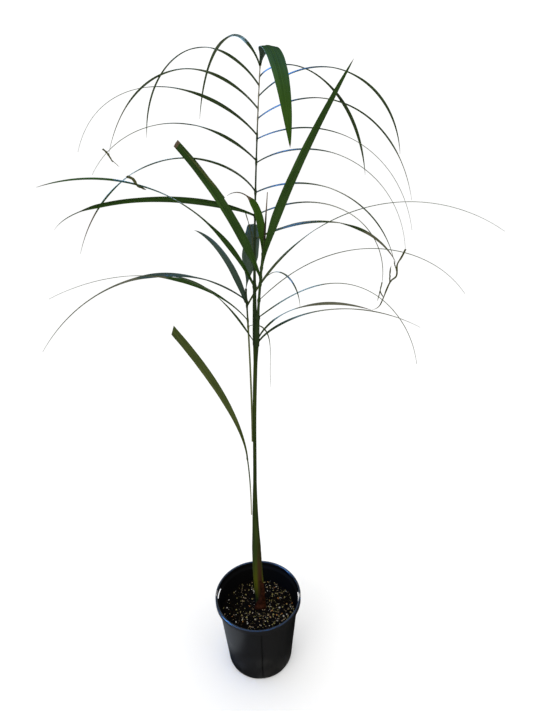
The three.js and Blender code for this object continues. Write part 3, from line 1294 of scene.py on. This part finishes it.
@dataclass
class LeafMaker:
    """Lays leaflets into a form: folded at the midrib, pleated, and a little uneven."""

    step: float = 5.0
    flat_from: float = 0.3
    thickness: float = 0.45
    midrib: float = 0.35
    pleat_depth: float = 0.028
    stalk_length: float = 6.0
    sway: float = 5.0
    uneven: float = 0.05

    def grow(self, form: Form, leaf: Leaflet, foot: Vector, dice: random.Random) -> Vector:
        """Adds one leaflet.

        Args:
            form: The form it is added to.
            leaf: The leaflet.
            foot: Where it starts, in millimetres.
            dice: Gives its small unevenness.

        Returns:
            The place of its tip.
        """
        rows = max(24, round(leaf.length / self.step))
        columns = 10 if leaf.width < 16 else 8 + 4 * leaf.pleats
        phase = dice.uniform(0, math.tau)
        stations = []
        centre = foot.copy()
        for k in range(rows + 1):
            share = k / rows
            along = leaf.along(share)
            turn = leaf.turn(share)
            sway = self.sway * math.sin(phase + share * 7.0) * eased(share, 0.1, 0.4)
            across = Vector((math.sin(turn), -math.cos(turn), 0))
            across = Quaternion(along, math.radians(leaf.roll(share) + sway)) @ across
            stations.append((share, centre.copy(), across, across.cross(along), along))
            centre += leaf.along((k + 0.5) / rows) * (leaf.length / rows)

        def corner(u: float, v: float) -> Vector:
            """The place of one corner of the leaflet.

            Args:
                u: Its share across.
                v: Its share along.

            Returns:
                The place, in millimetres.
            """
            share, middle, across, through, along = stations[round(v * rows)]
            side = 2 * u - 1
            side = math.copysign(abs(side) ** 1.15, side)
            middle = middle - along * (leaf.slant * side * share**8)
            half = leaf.wide(share) / 2
            half *= 1 + self.uneven * bump_at(share * 9 + phase, side, leaf.length)
            fold = math.radians(mixed(leaf.cup, leaf.fold, eased(share, 0.0, self.flat_from)))
            reach = side * half * math.cos(fold)
            depth = half * math.sin(fold) * (0.5 - abs(side))
            depth += self.midrib * math.exp(-((side / 0.16) ** 2)) * min(1.0, half / 3)
            ripple = math.cos(math.tau * leaf.pleats * abs(side)) * eased(share, 0.05, 0.3)
            depth -= self.pleat_depth * half * ripple * (1 - abs(side) ** 4)
            return middle + across * reach + through * (depth + self.thickness / 2)

        faces = form.laid(columns, rows, corner)
        form.mesh.normal_update()
        made = bmesh.ops.solidify(form.mesh, geom=faces, thickness=self.thickness * MM)
        upper = set(faces)
        shell = [item for item in made["geom"] if isinstance(item, bmesh.types.BMFace)]
        for face in {*faces, *shell}:
            self._paint(form, face, leaf, face in upper, phase)
        return centre

    def _paint(
        self, form: Form, face: bmesh.types.BMFace, leaf: Leaflet, upper: bool, phase: float
    ) -> None:
        """Deals one face its plain colour by its place on the leaflet.

        Args:
            form: The form that it is in.
            face: The face.
            leaf: The leaflet.
            upper: Whether it is on the leaflet's upper face.
            phase: The leaflet's own number, which makes its dry edges its own.
        """
        places = [loop[form.uv].uv for loop in face.loops]
        u = sum(place.x for place in places) / len(places)
        v = sum(place.y for place in places) / len(places)
        tint = leaf.tint if upper else leaf.under
        if v < self.stalk_length / leaf.length:
            tint = Tint.STALK
        elif v > 1 - leaf.dry * (1 + 0.5 * bump_at(u * 5, phase, leaf.length)):
            tint = Tint.DRY
        elif v > leaf.pale_from + 0.04 * bump_at(u * 4, v * 30, leaf.length):
            tint = leaf.outer
        face.material_index = tint.value


@dataclass
class Frond:
    """A frond: a rib with its leaflets, all of which stand for one node."""

    name: str
    node: str
    slot: str
    rib: Run
    foot_radius: float
    tip_radius: float
    skin: RibSkin
    leaflets: Sequence[Leaflet]
    seed: int
    maker: LeafMaker
    broad: float = 0.0
    groove: float = 0.16
    foot_swelling: float = 0.4

    def _rib(self) -> None:
        """Builds the rib, with a groove on its front face and a swelling at each leaflet's foot."""
        low = self.rib.at(0.0).z + 20
        feet = [leaf.foot for leaf in self.leaflets if leaf.foot is not None and leaf.foot > low]

        def radius(around: float, share: float) -> float:
            """The rib's radius at a place.

            Args:
                around: The share of the way round.
                share: The share of the way up.

            Returns:
                The radius, in millimetres.
            """
            plain = mixed(self.foot_radius, self.tip_radius, share)
            plain *= 1 + self.broad * eased(share, 0.42, 0.04)
            height = self.rib.at(share).z
            groove = self.groove * plain * math.exp(-(((around - 0.5) / 0.07) ** 2))
            swell = sum(
                self.foot_swelling * math.exp(-(((height - foot) / 3.5) ** 2)) for foot in feet
            )
            rough = 0.05 * bump_at(around * 9, height / 18, 2.0)
            return plain * (1 + min(0.45, swell) + rough) - groove

        form = Form()
        form.tube(self.rib, radius, sides=20, steps=230)
        skins = [self.skin.material()]
        form.piece(f"{self.name}_rib", skins, self.node, crease=60.0)

    def build(self, skins: Sequence[bpy.types.Material]) -> None:
        """Builds the rib and its leaflets.

        Args:
            skins: The leaflets' materials, in the order of their tints.
        """
        self._rib()
        dice = random.Random(self.seed)
        form = Form()
        tip = self.rib.at(1.0)
        for leaf in self.leaflets:
            foot = tip if leaf.foot is None else self.rib.at_height(leaf.foot)
            tip = self.maker.grow(form, leaf, foot, dice)
        form.piece(f"{self.name}_leaflets", skins, self.node, crease=50.0)


# Each leaflet's foot, heading, rise, fall, bend, length, width and rolls, then what is its own.
TALL_LEAFLETS = (
    Leaflet(1289, 115, 56, -67, 0.75, 370, 12, (90, -10, -40), dry=0.02),
    Leaflet(1262, 140, 49, -84, 1.05, 380, 12, (60, -10, -20)),
    Leaflet(1229, 140, 44, -60, 0.9, 480, 12, (65, -5, -15), pale_from=0.74, slim=0.6),
    Leaflet(1191, 175, 51, -51, 0.85, 435, 12, (55, 0, -30), swing=-40, pale_from=0.44, slim=0.3),
    Leaflet(1153, 175, 46, -56, 1.05, 320, 12, (50, 0, 0), dry=0.05, pale_from=0.5, slim=0.4),
    Leaflet(1104, 160, 62, -66, 0.6, 465, 12, (40, 10, -50), dry=0.2),
    Leaflet(
        1066, 185, 33, -26, 0.5, 495, 15.5, (60, 40, 40), swing=-60, full_at=0.14,
        tint=Tint.FRESH, under=Tint.DEEP, pale_from=0.66, slim=0.22, outer=Tint.DUSKY,
    ),
    Leaflet(
        945, 205, 66, -12, 1.25, 415, 14, (60, 0, -20), swing=10,
        tint=Tint.DEEP, under=Tint.DEEP, pale_from=0.74, slim=1.0, outer=Tint.FRESH,
    ),
    Leaflet(839, 200, 62, 8, 1.95, 225, 7, (40, 20, -50)),
    Leaflet(
        1289, -80, 54, -75, 0.6, 270, 26, root=0.2, full_at=0.28,
        tint=Tint.FRESH, under=Tint.SLATE, pleats=5, fold=5, dry=0.012, tip=0.14,
    ),
    Leaflet(1274, 30, 56, -81, 0.5, 325, 11, (4, 10, -10), cup=20),
    Leaflet(1247, 20, 41, -82, 1, 350, 11, (6, 8, -5), cup=20),
    Leaflet(
        1215, 30, 32, -73, 0.85, 445, 11, (6, 5, 5), dry=0.05, pale_from=0.76, slim=0.45, cup=20,
    ),
    Leaflet(1185, 20, 22, -76, 0.9, 405, 11, (8, 5, 25), pale_from=0.36, slim=0.45, cup=20),
    Leaflet(1149, 5, 31, -83, 0.85, 360, 11, (12, 0, 10), dry=0.06, pale_from=0.36, cup=20),
    Leaflet(
        1103, 5, 24, -76, 0.9, 320, 12, (10, 0, -10), dry=0.05, pale_from=0.85, slim=0.7, cup=20,
    ),
    Leaflet(1066, 8, 23, -97, 1.2, 330, 12, (4, -5, 0), dry=0.06, pale_from=0.68, slim=0.6, cup=20),
    Leaflet(
        1027, 8, 23, -60, 1.3, 290, 12, (10, 5, -45),
        tint=Tint.OLIVE, dry=0.08, pale_from=0.7, slim=0.8,
    ),
)
NEW_LEAFLETS = (
    Leaflet(
        1012, 222, 90, -24, 2.2, 146, 13, (60, 60, 60), tip=0.4,
        tint=Tint.FRESH, under=Tint.FRESH, pale_from=0.66, slim=0.2, outer=Tint.DRY,
    ),
    Leaflet(
        None, 226, 47, 45, 1, 108, 4, (45, 45, 45), root=0.5,
        tint=Tint.OLIVE, under=Tint.OLIVE,
    ),
    Leaflet(
        970, 225, 66, 45, 1.05, 270, 15, (45, 45, 45), tip=0.7,
        tint=Tint.FRESH, under=Tint.DEEP, dry=0.015, blunt=True, slant=2.0,
    ),
    Leaflet(
        987, -45, 82, 52, 0.35, 345, 15.5, (-35, -35, -35), tip=0.15,
        tint=Tint.DEEP, under=Tint.DEEP, dry=0.01,
    ),
    Leaflet(957, -60, 43, -87, 1.8, 155, 5, (40, 0, -10)),
    Leaflet(
        927, -15, 45, -53, 1.45, 385, 6, (0, -20, -10),
        tint=Tint.STRAW, under=Tint.STRAW, dry=0.12,
    ),
    Leaflet(893, -35, 39, -75, 2.05, 385, 11, (5, 8, -30), swing=-25, dry=0.06, pale_from=0.42),
    Leaflet(
        841, -10, 86, -14, 0.55, 240, 10, (30, -10, 35), swing=-10,
        dry=0.08, pale_from=0.44, slim=0.9,
    ),
    Leaflet(839, 10, 71, -31, 0.45, 345, 14, (0, -20, 10), dry=0.05, pale_from=0.48),
)
BACK_LEAFLETS = (
    Leaflet(
        927, 55, 72, -45, 3, 159, 33, (5, 5, 5), swing=40, root=0.06, full_at=0.42, tip=0.4,
        tint=Tint.SLATE, under=Tint.SLATE, pleats=6, fold=8, dry=0.0, blunt=True,
    ),
    Leaflet(
        903, 135, 63, 4, 1.5, 190, 13, (-30, -30, -30), root=0.8,
        tint=Tint.SLATE, under=Tint.DEEP,
    ),
    Leaflet(
        906, 185, 43, -46, 0.95, 410, 12, (30, -30, 10), swing=45,
        tint=Tint.SLATE, under=Tint.SLATE, pale_from=0.5, slim=0.55,
    ),
    Leaflet(
        869, 195, 57, -17, 0.85, 375, 9, (30, 70, 0), swing=20,
        tint=Tint.DEEP, under=Tint.DEEP, pale_from=0.48,
    ),
    Leaflet(
        896, 20, 58, -32, 1.15, 530, 6, (60, -30, -10), swing=-45, root=0.8,
        tint=Tint.OLIVE, under=Tint.DEEP,
    ),
    Leaflet(857, 40, 36, -95, 0.35, 220, 4, (70, 90, 100), swing=85, tint=Tint.OLIVE, dry=0.3),
)
STRAP = Leaflet(
    580, 190, 95, 57, 0.4, 325, 19, (75, 75, 75), root=0.25, full_at=0.78, tip=0.82,
    tint=Tint.OLIVE, under=Tint.OLIVE, pleats=4, fold=10, dry=0.0, blunt=True, slant=6.0,
)


@dataclass
class Spear:
    """The unopened spear, folded tight."""

    knots: tuple[Point, Point, Point] = ((38.3, -30, 1036.3), (41.5, -30.6, 1074), (45, -31, 1111))
    foot_radius: float = 1.7
    tip_radius: float = 0.6
    folds: int = 4
    fold_depth: float = 0.1

    def build(self) -> None:
        """Builds the spear."""

        def radius(around: float, share: float) -> float:
            """The spear's radius at a place."""
            folded = 1 + self.fold_depth * math.cos(self.folds * math.tau * around)
            return mixed(self.foot_radius, self.tip_radius, share) * folded

        form = Form()
        form.tube(bow(*self.knots), radius, sides=20, steps=60)
        skin = RibSkin("spear_tan", (0.030, 0.022, 0.012), (0.16, 0.12, 0.07), 1.06, 1.10)
        form.piece("spear_blade", [skin.material()], "spear", crease=60.0)


@dataclass
class SheathStub:
    """The dried stub of a sheath, ragged at its top and hollow on its inner side."""

    foot: Point = (4.0, -5.0, 150.3)
    wide: float = 27.0
    tall: float = 92.0
    thickness: float = 1.0
    hollow: float = 3.4

    def _corner(self, u: float, v: float) -> Vector:
        """The place of one corner of the stub.

        Args:
            u: Its share across.
            v: Its share of the way up.

        Returns:
            The place, in millimetres.
        """
        side = 2 * u - 1
        torn = 1 - 0.22 * abs(bump_at(u * 7, 3.0, 1.0)) - 0.10 * abs(bump_at(u * 23, 1.0, 2.0))
        share = v * torn
        half = self.wide / 2 * (1 - 0.62 * eased(share, 0.04, 0.5)) * (1 - 0.3 * share**3)
        curl = self.hollow * (side * side - 0.4) * (1 - share * 0.5)
        ring = 1.8 * math.exp(-(((share - 0.07) / 0.035) ** 2))
        ring -= 2.2 * math.exp(-(((share - 0.17) / 0.05) ** 2))
        fibre = 0.7 * bump_at(u * 24, v * 4, 4.0) + 0.3 * bump_at(u * 60, v * 9, 6.0)
        lean = 7.5 * eased(share, 0.02, 0.55) - 1.5 * eased(share, 0.6, 1.0)
        out = curl + fibre - ring * (1 - side**2) - 0.2
        return Vector(self.foot) + Vector((side * half + lean, out, self.tall * share))

    def build(self) -> None:
        """Builds the stub."""
        form = Form()
        faces = form.laid(columns=40, rows=60, place=self._corner)
        form.mesh.normal_update()
        bmesh.ops.solidify(form.mesh, geom=faces, thickness=self.thickness * MM)
        husk = Crumbs("dry_husk", (0.006, 0.002, 0.001), (0.058, 0.018, 0.008), 0.8, 240.0, 0.0012)
        form.piece("dry_sheath_stub", [husk.material()], "sheath_stub", crease=50.0)


@dataclass(frozen=True)
class Strand:
    """One dry strand: its radius and the points that it passes through, in millimetres."""

    thick: float
    knots: tuple[Point, ...]
    plain: float = 0.85
    uneven: float = 0.45

    def lay(self, form: Form, number: int) -> None:
        """Adds the strand to a form.

        Args:
            form: The form.
            number: The strand's own number, which makes its lumps its own.
        """

        def radius(around: float, share: float) -> float:
            """The strand's radius at a place."""
            lumps = self.uneven * bump_at(around * 3, share * 9, number)
            return self.thick * (self.plain + lumps) * (1 - share**6)

        form.tube(smooth_line(self.knots), radius, sides=8, steps=60)


@dataclass
class DryScraps:
    """The dried strand that links three leaflets' tips, and the torn shreds on others."""

    linking: tuple[Strand, ...] = (
        Strand(1.8, (
            (291, 51, 993), (284, 48, 979), (277, 45.5, 967), (277, 46, 945), (269, 47, 937),
            (261, 49, 917), (258, 50, 906), (251, 49, 888), (244, 49, 882), (236, 48, 880),
        )),
        Strand(1.2, ((271, 45.5, 973), (272.5, 45.5, 966), (275, 45.6, 960), (277.2, 45.8, 951))),
        Strand(1.5, ((266.5, 47.6, 931), (265.5, 46.8, 943), (265, 46, 955), (266, 45.5, 966))),
        Strand(1.3, ((253.2, 52.6, 932), (251, 51.5, 920), (249, 50.5, 909), (246.3, 50, 896))),
        Strand(1.2, ((250.3, 51, 916), (253, 50.6, 910), (255.5, 50.2, 906), (257.2, 50, 902))),
    )
    torn: tuple[Strand, ...] = (
        Strand(2.2, ((-156, -90, 1147), (-149, -86, 1143), (-145, -82, 1134), (-134, -72, 1125))),
        Strand(0.9, ((-282, 302, 1150), (-279, 302, 1139), (-273, 302, 1132), (-263, 302, 1122))),
        Strand(1.8, ((-224, 52, 1175), (-218, 50, 1170), (-213, 50, 1161), (-210, 50, 1154))),
        Strand(1.0, ((6, 30, 1074), (12, 30, 1052), (17, 30, 1030), (17, 31, 1004))),
    )

    def build(self) -> None:
        """Builds all of them as one piece."""
        form = Form()
        for number, strand in enumerate((*self.linking, *self.torn)):
            strand.lay(form, number)
        dry = Crumbs("dry_strand", (0.024, 0.026, 0.008), (0.076, 0.078, 0.028), 0.8, 300.0)
        form.piece("dry_tip_strand", [dry.material()], "tall_frond", crease=60.0)


@dataclass
class Crown:
    """All that grows from the stem: three fronds, the strap leaf, the spear and the dry parts."""

    fork: float = 835.8
    cream: Colour = (0.200, 0.185, 0.130)
    dark_rib: Colour = (0.018, 0.034, 0.007)
    pale_stalk: Colour = (0.110, 0.125, 0.040)

    def _fronds(self, maker: LeafMaker) -> list[Frond]:
        """Lists the four that have a rib or a stalk.

        Args:
            maker: Lays their leaflets.

        Returns:
            The fronds.
        """
        tall = bow((15.8, 1.3, self.fork), (20, 18, 1075), (39.4, 45, 1291))
        new = bow((18.6, -4.3, self.fork), (26, -14, 950), (38.3, -30, 1036))
        back = bow((2.9, 7.6, 620), (6, 22, 760), (1.6, 50, 928))
        stalk = bow((-6.4, 5, 432), (-4.4, 4.5, 533), (-9.4, 4, 582))
        tall_skin = RibSkin("rib_tall", self.dark_rib, self.cream, 1.18, 1.23)
        new_skin = RibSkin("rib_new", self.dark_rib, (0.030, 0.056, 0.010), 0.84, 1.0)
        back_skin = RibSkin("rib_back", self.pale_stalk, self.dark_rib, 0.84, 0.90)
        stalk_skin = RibSkin("stalk_strap", (0.34, 0.33, 0.24), (0.05, 0.07, 0.02), 0.46, 0.54)
        return [
            Frond(
                "tall", "tall_frond", "leaf_green", tall, foot_radius=2.6, tip_radius=0.8,
                skin=tall_skin, leaflets=TALL_LEAFLETS, seed=7, maker=maker, broad=0.75,
            ),
            Frond(
                "new", "new_frond", "new_leaf_green", new, foot_radius=2.6, tip_radius=2.0,
                skin=new_skin, leaflets=NEW_LEAFLETS, seed=11, maker=maker, broad=0.85,
            ),
            Frond(
                "back", "back_frond", "old_leaf_green", back, foot_radius=2.0, tip_radius=1.6,
                skin=back_skin, leaflets=BACK_LEAFLETS, seed=17, maker=maker,
            ),
            Frond(
                "strap", "strap_leaf", "strap_green", stalk, foot_radius=1.4, tip_radius=1.4,
                skin=stalk_skin, leaflets=(STRAP,), seed=23, maker=maker,
            ),
        ]

    def build(self) -> None:
        """Builds the crown."""
        skins = [LEAF_SKINS[tint].material() for tint in Tint]
        for frond in self._fronds(LeafMaker()):
            frond.build(skins)
        Spear().build()
        SheathStub().build()
        DryScraps().build()


# Studio


@dataclass(frozen=True)
class Panel:
    """One soft panel of light: its place, size, power in watts, colour, aim and spread in degrees.

    A panel that only shines adds no light to a dull surface. It glints on a skin, as the sky does.
    """

    name: str
    place: Point
    size: tuple[float, float]
    power: float
    colour: Colour
    aim: Point = (0.0, 0.0, 0.75)
    spread: float = 180.0
    only_shines: bool = True

    def hang(self) -> None:
        """Hangs the panel in the scene."""
        data = bpy.data.lights.new(self.name, "AREA")
        data.shape = "RECTANGLE"
        data.size, data.size_y = self.size
        data.energy = self.power
        data.color = self.colour
        data.spread = math.radians(self.spread)
        panel = bpy.data.objects.new(self.name, data)
        panel.location = self.place
        panel.rotation_mode = "QUATERNION"
        ahead = Vector(self.aim) - Vector(self.place)
        panel.rotation_quaternion = ahead.to_track_quat("-Z", "Y")
        panel.visible_camera = False
        panel.visible_diffuse = not self.only_shines
        bpy.context.scene.collection.objects.link(panel)


SKY = (0.09, 0.32, 0.95)
HAZE = (0.42, 0.72, 1.0)
WARM = (1.0, 0.95, 0.85)
GROUND = (0.8, 0.9, 0.62)
CARD = (0.85, 0.92, 1.0)

PANELS = (
    Panel("key_panel", (-1.6, -1.9, 2.6), (1.6, 1.6), 16.0, (1.0, 0.98, 0.95), only_shines=False),
    Panel("fill_panel", (2.0, -1.4, 1.8), (1.4, 1.6), 7.0, (1.0, 1.0, 1.0), only_shines=False),
    Panel("horizon_left", (-0.75, 2.0, 1.4), (1.5, 0.7), 13.0, HAZE),
    Panel("horizon_right", (0.85, 2.0, 1.4), (1.4, 0.7), 7.0, WARM),
    Panel("ground_glow", (0.0, 1.9, 0.35), (4.0, 1.35), 4.6, GROUND, (0.0, 0.0, 0.35)),
    Panel("sky_above", (0.15, 0.4, 2.7), (1.0, 0.9), 20.0, SKY, (0.12, 0.2, 1.1), 90.0),
    Panel("sky_beside", (-1.0, -0.2, 0.85), (0.5, 0.4), 7.0, SKY, (0.0, 0.0, 0.19), 40.0),
    Panel("bounce_card", (-0.2, 0.0, 0.004), (0.2, 0.4), 0.09, CARD, (-0.2, 0.0, 1.0)),
)


@dataclass
class Studio:
    """A pale floor, soft light and the camera at the photograph's angle."""

    eye: Point = (0.0361, -0.893, 1.238)
    down: float = 25.38
    roll: float = -1.67
    focal_pixels: float = 534.0
    picture_height: int = 711
    sensor: float = 36.0
    floor_size: float = 20.0
    air: float = 1.06

    def _floor(self) -> None:
        """Lays the floor, which isn't part of the palm."""
        form = Form()
        bmesh.ops.create_grid(form.mesh, x_segments=8, y_segments=8, size=self.floor_size)
        floor = form.placed("studio_floor")
        recipe = Recipe("pale_floor")
        cloud = recipe.grain(recipe.place(), 1.5, 3.0)
        colour = recipe.blend(cloud, (0.955, 0.955, 0.955), (0.975, 0.975, 0.975))
        skin = recipe.finish(base_color=colour, roughness=0.9, specular_ior_level=0.0)
        floor.data.materials.append(skin)
        floor.visible_glossy = False

    def _air(self) -> None:
        """Sets the pale surroundings."""
        world = bpy.data.worlds.new("pale_air")
        world.use_nodes = True
        background = world.node_tree.nodes["Background"]
        background.inputs["Color"].default_value = (1.0, 1.0, 1.0, 1.0)
        background.inputs["Strength"].default_value = self.air
        bpy.context.scene.world = world
        world.cycles_visibility.glossy = False
        bpy.context.scene.view_settings.view_transform = "Standard"

    def _camera(self) -> None:
        """Sets the camera as the photograph was taken."""
        data = bpy.data.cameras.new("photo_camera")
        data.sensor_width = self.sensor
        data.lens = data.sensor_width * self.focal_pixels / self.picture_height
        data.clip_start = 0.05
        data.clip_end = 60.0
        down, roll = math.radians(self.down), math.radians(self.roll)
        ahead = Vector((0, math.cos(down), -math.sin(down)))
        level = Vector((1, 0, 0))
        upright = Vector((0, math.sin(down), math.cos(down)))
        right = level * math.cos(roll) + upright * math.sin(roll)
        up = upright * math.cos(roll) - level * math.sin(roll)
        turn = Matrix((right, up, -ahead)).transposed()
        camera = bpy.data.objects.new("photo_camera", data)
        camera.matrix_world = Matrix.LocRotScale(Vector(self.eye), turn.to_quaternion(), None)
        bpy.context.scene.collection.objects.link(camera)
        bpy.context.scene.camera = camera

    def build(self) -> None:
        """Builds the studio."""
        self._floor()
        for panel in PANELS:
            panel.hang()
        self._air()
        self._camera()


def main() -> None:
    """Builds the palm and its studio, piece by piece."""
    logging.basicConfig(level=logging.INFO, format="%(message)s")
    Studio().build()
    NurseryPot().build()
    MixBed().build()
    SheathedStem().build()
    Crown().build()


if __name__ == "__main__":
    main()
